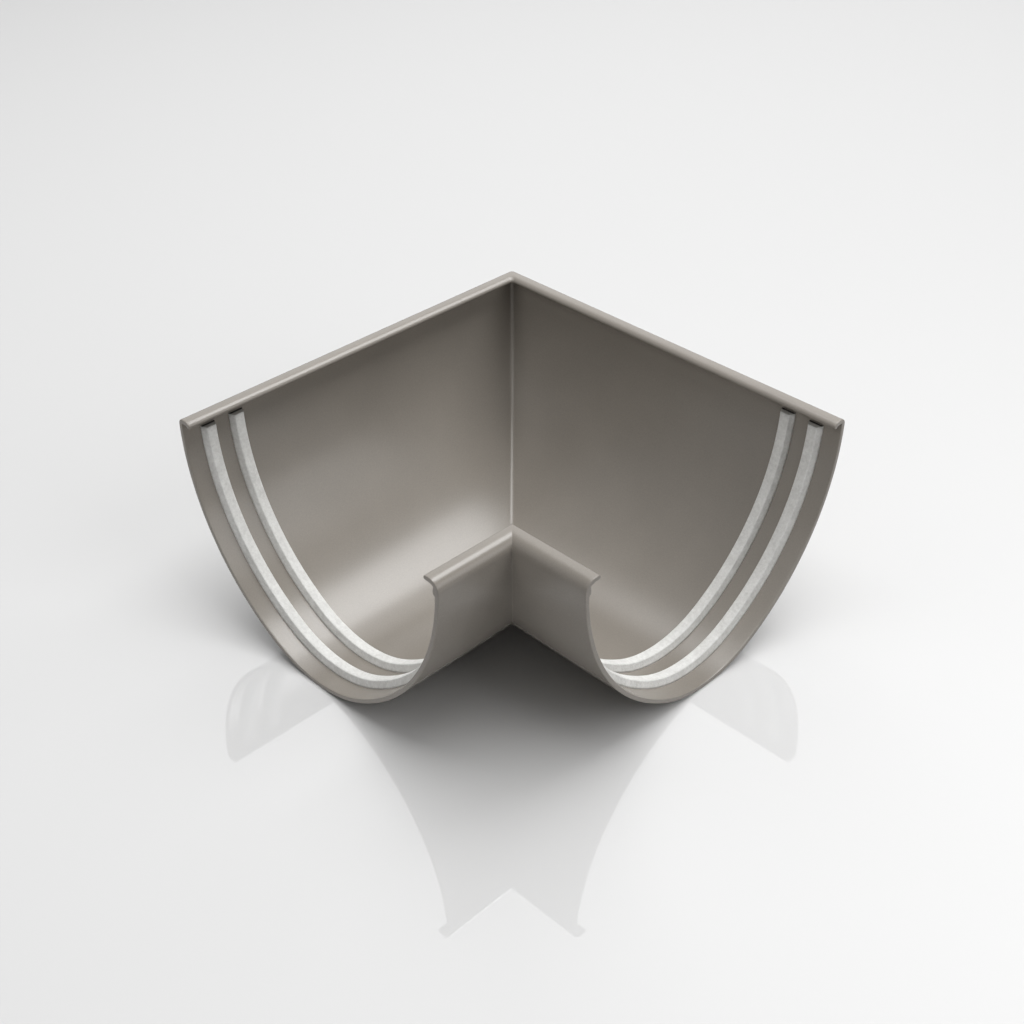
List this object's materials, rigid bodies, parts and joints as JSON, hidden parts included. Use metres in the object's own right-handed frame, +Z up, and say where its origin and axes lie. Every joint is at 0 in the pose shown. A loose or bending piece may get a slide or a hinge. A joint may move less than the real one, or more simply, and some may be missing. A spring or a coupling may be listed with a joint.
{
  "type": "gutter corner",
  "caption": "Inside corner for a deep half-round rain gutter: a mitred moulded trough with a hooked outer rim, a turned-in inner lip and white seal strips at each open end.",
  "frame": {"origin": "on the ground plane, under the middle of the bounding box", "axes": "+Z up out of the open trough, one leg runs along +X and the other along -Y, the outer corner stands at -X, +Y"},
  "size_m": [0.163, 0.163, 0.0808],
  "materials": {
    "trough_plastic": "satin taupe grey",
    "seal_strip": "matt white"
  },
  "bodies": {
    "root": {"corner": "trough_plastic", "seal_x_end": "seal_strip", "seal_x_inner": "seal_strip", "seal_y_end": "seal_strip", "seal_y_inner": "seal_strip"}
  },
  "joints": []
}
